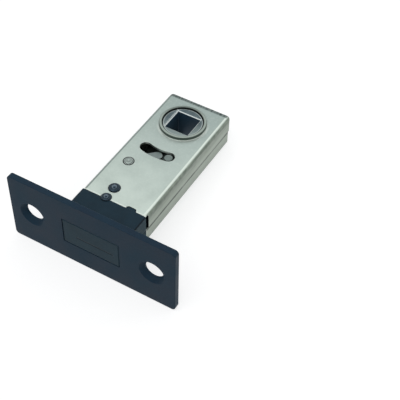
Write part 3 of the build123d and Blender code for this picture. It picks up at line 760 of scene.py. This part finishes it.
# %% [markdown]
# ## Springs by Geometry Nodes
# A compression spring is a wire along a helix, so it follows a rule: radius, length, turns and wire. The
# tree starts from a straight line of points, moves each point by a rule of its place along the line, and
# sweeps a small circle along the result. The ends of a real spring are closed, so the first and last turns
# hardly rise. The bolt presses one spring shorter as it slides out, and the follower's heel presses the
# other as it turns.

# %% Tree for the springs
def opened(name, sizes, on_points=False):
    """A new tree with its sizes and a finish as named inputs, and the sockets that bring them in."""
    tree = bpy.data.node_groups.new(name, "GeometryNodeTree")
    if on_points:
        tree.interface.new_socket("Places", in_out="INPUT", socket_type="NodeSocketGeometry")
    for title, size in sizes.items():
        socket = tree.interface.new_socket(title, in_out="INPUT", socket_type="NodeSocketFloat")
        socket.default_value = size
    tree.interface.new_socket("Finish", in_out="INPUT", socket_type="NodeSocketMaterial")
    tree.interface.new_socket("Piece", in_out="OUTPUT", socket_type="NodeSocketGeometry")
    return tree, add(tree, "NodeGroupInput").node.outputs


def closed_off(tree, geometry, finish):
    """Ends a tree with plain meshes that wear their finish."""
    whole = add(tree, "GeometryNodeRealizeInstances", {"Geometry": geometry})
    dressed = add(tree, "GeometryNodeSetMaterial", {"Geometry": whole, "Material": finish})
    add(tree, "NodeGroupOutput", {"Piece": dressed})
    return tree


def spring_tree():
    tree, sizes = opened("compression spring", {"Radius": 1.8 * MM, "Length": 12 * MM, "Turns": 7.0,
                                                "Wire": 0.15 * MM})
    line = add(tree, "GeometryNodeCurvePrimitiveLine", {"End": (0, 0, 1)})
    line = add(tree, "GeometryNodeResampleCurve", {"Curve": line, "Count": 200})
    along = add(tree, "GeometryNodeSplineParameter")
    turned = add(tree, "ShaderNodeMath", {0: along, 1: sizes["Turns"]}, operation="MULTIPLY")
    angle = add(tree, "ShaderNodeMath", {0: turned, 1: 2 * math.pi}, operation="MULTIPLY")
    eased = add(tree, "ShaderNodeMapRange",
                {"Value": along, "From Min": 0.1, "From Max": 0.9, "To Min": 0.03, "To Max": 0.97})
    z = add(tree, "ShaderNodeMath", {0: eased, 1: sizes["Length"]}, operation="MULTIPLY")
    spot = on_circle(tree, angle, sizes["Radius"], z)
    line = add(tree, "GeometryNodeSetPosition", {"Geometry": line, "Position": spot})
    ring = add(tree, "GeometryNodeCurvePrimitiveCircle", {"Resolution": 8, "Radius": sizes["Wire"]})
    wire = add(tree, "GeometryNodeCurveToMesh", {"Curve": line, "Profile Curve": ring, "Fill Caps": True})
    return closed_off(tree, wire, sizes["Finish"])


def on_circle(tree, angle, radius, z):
    """The point at an angle and radius round the upright axis, at a height."""
    cosine = add(tree, "ShaderNodeMath", {0: angle}, operation="COSINE")
    sine = add(tree, "ShaderNodeMath", {0: angle}, operation="SINE")
    x = add(tree, "ShaderNodeMath", {0: cosine, 1: radius}, operation="MULTIPLY")
    y = add(tree, "ShaderNodeMath", {0: sine, 1: radius}, operation="MULTIPLY")
    return add(tree, "ShaderNodeCombineXYZ", {"X": x, "Y": y, "Z": z})


def grown(name, tree, values, seed=None):
    """Runs a tree on a new object, with its inputs set by name, and keeps the result as a plain mesh."""
    maker = bpy.data.objects.new(name + "_maker", seed or bpy.data.meshes.new(name))
    bpy.context.scene.collection.objects.link(maker)
    step = maker.modifiers.new("rule", "NODES")
    step.node_group = tree
    for item in tree.interface.items_tree:
        if item.in_out == "INPUT" and item.name in values:
            step[item.identifier] = values[item.name]
    made = maker.evaluated_get(bpy.context.evaluated_depsgraph_get())
    mesh = bpy.data.meshes.new_from_object(made)
    bpy.data.objects.remove(maker)
    mesh.name = name
    return shown(name, mesh)


springs = spring_tree()
print("tree", springs.name, len(springs.nodes), "nodes")

# %% Wind the two compression springs
BOLT_THROW = 7.5
HEEL_STROKE = 4.5
winding = (("bolt_spring", 1, 7.0, 0.3, "bolt_slide", BOLT_THROW),
           ("follower_spring", 0, 5.0, 0.35, "follower_turn", HEEL_STROKE))
for node, axis, turns, wire, joint, stroke in winding:
    low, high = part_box(node)
    across = high[2] - low[2]
    reach = high[axis] - low[axis]
    values = {"Radius": (across - wire * MM) / 2, "Length": reach - wire * MM, "Turns": turns,
              "Wire": wire * MM / 2, "Finish": music_wire}
    piece = grown(node + "_coil", springs, values)
    start = (low + high) / 2
    start[axis] = low[axis] + wire * MM / 2
    turn = Matrix.Rotation(-math.pi / 2, 4, "X") if axis == 1 else Matrix.Rotation(math.pi / 2, 4, "Y")
    piece.data.transform(Matrix.Translation(start) @ turn)
    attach(piece, "case")
    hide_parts(node)
    fixed_end = (low + high) / 2
    fixed_end[axis] = low[axis]
    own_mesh(piece)
    print(piece.name, len(piece.data.polygons), "faces")

# %% [markdown]
# ## Set heads by Geometry Nodes
# Two cast studs on each half of the guide pass through the shell, and a spinning punch sets their heads
# over it. It leaves a low dome with a pressed dimple and a raised ring round that. The rivet of the lever
# gets such a head at each end. All are turned forms that differ only in size and place, so one tree makes
# them. It bends a flat grid into a closed turned solid: across the grid is the way along the profile, and
# up the grid is the way round. The profile is read from two Float Curve nodes, one for the radius and one
# for the height. The solid is then put on each point of a small mesh, whose vertices carry a width and a
# facing as attributes. A stud's head spreads a little beyond the stud and rises in proportion to its
# radius.

# %% Tree for the set heads
def head_tree(name, profile):
    """The profile is a closed run of radius and height, from the pole above round to the pole below."""
    tree, given = opened(name, {"Radius": 1.0 * MM, "Height": 1.0 * MM}, on_points=True)
    sheet = add(tree, "GeometryNodeMeshGrid",
                {"Size X": 1.0, "Size Y": 1.0, "Vertices X": len(profile), "Vertices Y": 41})
    spot = add(tree, "GeometryNodeInputPosition")
    spot = add(tree, "ShaderNodeSeparateXYZ", {"Vector": spot}).node.outputs
    along = add(tree, "ShaderNodeMath", {0: spot["X"], 1: 0.5}, operation="ADD")
    angle = add(tree, "ShaderNodeMath", {0: spot["Y"], 1: 2 * math.pi}, operation="MULTIPLY")
    read = []
    for part, size in enumerate((given["Radius"], given["Height"])):
        value = add(tree, "ShaderNodeFloatCurve", {"Value": along})
        curve = value.node.mapping.curves[0]
        value.node.mapping.use_clip = False
        while len(curve.points) < len(profile):
            curve.points.new(0.5, 0.5)
        for step, (point, corner) in enumerate(zip(curve.points, profile)):
            point.location = (step / (len(profile) - 1), corner[part])
            point.handle_type = "VECTOR"
        value.node.mapping.update()
        read.append(add(tree, "ShaderNodeMath", {0: value, 1: size}, operation="MULTIPLY"))
    place = on_circle(tree, angle, *read)
    bent = add(tree, "GeometryNodeSetPosition", {"Geometry": sheet, "Position": place})
    closed = add(tree, "GeometryNodeMergeByDistance", {"Geometry": bent, "Distance": 0.001 * MM})
    width = add(tree, "GeometryNodeInputNamedAttribute", {"Name": "width"}, data_type="FLOAT")
    facing = add(tree, "GeometryNodeInputNamedAttribute", {"Name": "facing"}, data_type="FLOAT_VECTOR")
    turn = add(tree, "FunctionNodeAlignRotationToVector", {"Vector": facing}, axis="Z")
    set_out = add(tree, "GeometryNodeInstanceOnPoints",
                  {"Points": given["Places"], "Instance": closed, "Rotation": turn, "Scale": width})
    return closed_off(tree, set_out, given["Finish"])


def marked_points(name, marks):
    """A mesh of loose vertices, each with a width and a facing for the head that stands on it."""
    mesh = bpy.data.meshes.new(name)
    mesh.from_pydata([[part * MM for part in place] for place, width, side in marks], [], [])
    widths = mesh.attributes.new("width", "FLOAT", "POINT")
    facings = mesh.attributes.new("facing", "FLOAT_VECTOR", "POINT")
    for step, (place, width, side) in enumerate(marks):
        widths.data[step].value = width
        facings.data[step].vector = (0, 0, side)
    return mesh


stud_profile = [(0, 0.25), (0.12, 0.3), (0.26, 0.75), (0.36, 1.0), (0.48, 0.92), (0.56, 0.72), (0.68, 0.86),
                (0.84, 0.72), (0.95, 0.42), (1.0, 0.1), (1.0, -0.6), (0, -0.6)]
rivet_profile = [(0, 0.1), (0.14, 0.1), (0.26, 0.3), (0.36, 0.85), (0.5, 1.0), (0.7, 0.85), (0.8, 0.5),
                 (0.85, -0.2), (0.92, -1.5), (1.0, -1.8), (1.0, -9), (0, -9)]
stud_tree = head_tree("set stud heads", stud_profile)
rivet_tree = head_tree("set rivet heads", rivet_profile)
print("trees", stud_tree.name, "and", rivet_tree.name)

# %% Set the studs' heads and the rivet's
STUD_SPREAD = 1.02
STUD_RISE = 0.32
stud_marks = [((x, y, side * CASE_TOP), diameter / 2, side)
              for x, y, diameter in (REAR_STUD, FRONT_STUD) for side in (1, -1)]
studs = grown("guide_stud_heads", stud_tree,
              {"Radius": STUD_SPREAD * MM, "Height": STUD_RISE * MM, "Finish": stud_black},
              marked_points("stud places", stud_marks))
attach(studs, "case")
RIVET_RADIUS = 1.5
RIVET_RISE = 0.2
rivet_marks = [((PIVOT[0], PIVOT[1], side * CASE_TOP), 1.0, side) for side in (1, -1)]
rivet_heads = grown("lever_rivet_heads", rivet_tree,
                    {"Radius": RIVET_RADIUS * MM, "Height": RIVET_RISE * MM, "Finish": riveted_steel},
                    marked_points("rivet places", rivet_marks))
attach(rivet_heads, "case")
print("heads", len(studs.data.polygons), "and", len(rivet_heads.data.polygons), "faces")

# %% [markdown]
# ## Floor and light
# The latch lies on a pale table. Its forend stands on its lower long edge, and the collar at the rear
# touches the table, so in the latch's own frame the table slopes up by about 5.6 degrees towards the rear.
# The floor looks white to the camera and in reflections, and it keeps the soft shadow: a plain paper
# surface with a little light of its own, which only those rays see. The floor and the world ask the same
# question about a ray, so one function asks it.

# %% Floor
def seen_directly(tree):
    """One for a ray from the camera, off a glossy surface or through a clear one."""
    rays = add(tree, "ShaderNodeLightPath").node.outputs
    seen = add(tree, "ShaderNodeMath",
               {0: rays["Is Camera Ray"], 1: rays["Is Glossy Ray"]}, operation="MAXIMUM")
    return add(tree, "ShaderNodeMath", {0: seen, 1: rays["Is Transmission Ray"]}, operation="MAXIMUM")


def pale_floor():
    material = bpy.data.materials.new("pale_studio_floor")
    material.use_nodes = True
    tree = material.node_tree
    tree.nodes.clear()
    paper = add(tree, "ShaderNodeBsdfDiffuse", {"Color": linear("#b4b5b6")})
    glow = add(tree, "ShaderNodeEmission", {"Color": (1, 1, 1, 1), "Strength": 0.7})
    lifted = add(tree, "ShaderNodeAddShader", {0: paper, 1: glow})
    mixed = add(tree, "ShaderNodeMixShader", {0: seen_directly(tree), 1: paper, 2: lifted})
    add(tree, "ShaderNodeOutputMaterial", {"Surface": mixed})
    return material


collar_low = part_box("lower_shell")[0].z / MM
collar_rear = BACKSET + COLLAR
slope = (collar_low + FOREND[2] / 2) / (collar_rear - FOREND[1])
FLOOR_REACH = 1500
corners = [(FLOOR_REACH * x, FLOOR_REACH * y, -FOREND[2] / 2 + slope * (FLOOR_REACH * y - FOREND[1]))
           for x, y in ((-1, -1), (1, -1), (1, 1), (-1, 1))]
floor_shape = bmesh.new()
floor_shape.faces.new([floor_shape.verts.new(Vector(corner) * MM) for corner in corners])
floor = as_piece("floor", floor_shape, pale_floor())
print("floor slope", round(math.degrees(math.atan(slope)), 2), "degrees")

# %% [markdown]
# ## World and lamps
# The world is white to the camera and to reflections, and half as strong as a light, so it fills the
# shadows. Four soft lamps shape the rest. A large one overhead lights every surface that faces up. A weak
# one behind and to the left stands where the case's top mirrors it, so the plate is brightest near the
# front and cools towards the rear. A narrow one to the right rear runs along the long bend as a bright
# line. A small one at the front left is only there for its glints on rims and heads.

# %% World and lamps
world = bpy.data.worlds.new("white studio")
bpy.context.scene.world = world
world.use_nodes = True
tree = world.node_tree
tree.nodes.clear()
strength = add(tree, "ShaderNodeMapRange", {"Value": seen_directly(tree), "To Min": 0.5, "To Max": 1.0})
sky = add(tree, "ShaderNodeBackground", {"Color": (1, 1, 1, 1), "Strength": strength})
add(tree, "ShaderNodeOutputWorld", {"Surface": sky})


def soft_lamp(name, place, target, size, watts):
    """A rectangular area lamp, aimed at a point; all in metres."""
    data = bpy.data.lights.new(name, "AREA")
    data.shape = "RECTANGLE"
    data.size, data.size_y = size
    data.energy = watts
    lamp = bpy.data.objects.new(name, data)
    lamp.location = place
    aim = Vector(target) - Vector(place)
    lamp.rotation_euler = aim.to_track_quat("-Z", "Y").to_euler()
    bpy.context.scene.collection.objects.link(lamp)


soft_lamp("overhead", (-0.05, -0.2, 0.6), (0, 0.02, 0), (0.5, 0.5), 1.0)
soft_lamp("rear_left_box", (-0.14, 0.24, 0.5), (0, 0.02, 0), (0.25, 0.25), 0.14)
soft_lamp("right_strip", (0.42, 0.4, 0.32), (0, 0.03, 0), (0.12, 0.4), 0.26)
soft_lamp("small_key", (-0.22, -0.2, 0.5), (0, 0.03, 0), (0.04, 0.04), 0.05)
print("lamps", len(bpy.data.lights))

# %% [markdown]
# ## Camera
# The photograph was taken from the front right and above. The camera's place and lens were worked out from
# the corners of the forend and the case, so the outlines fall where they do in the photograph. The camera's
# turn is given by the directions of its right, its up and its back.

# %% Camera
FOCAL_LENGTH = 84.03
SENSOR_WIDTH = 36
CAMERA_PLACE = (108.93, -134.91, 207.83)
lens = bpy.data.cameras.new("portrait")
lens.sensor_width = SENSOR_WIDTH
lens.lens = FOCAL_LENGTH
lens.clip_start = 0.01
lens.clip_end = 10
camera = bpy.data.objects.new("portrait", lens)
bpy.context.scene.collection.objects.link(camera)
right = Vector((0.86361, 0.50349, 0.02578))
up = Vector((-0.3877, 0.6306, 0.6723))
back = Vector((0.32227, -0.59065, 0.73978))
turn = Matrix((right, up, back)).transposed()
camera.matrix_world = Matrix.Translation(Vector(CAMERA_PLACE) * MM) @ turn.to_4x4()
bpy.context.scene.camera = camera
bpy.context.scene.view_settings.view_transform = "Standard"
print("camera at", [round(part, 4) for part in camera.location])
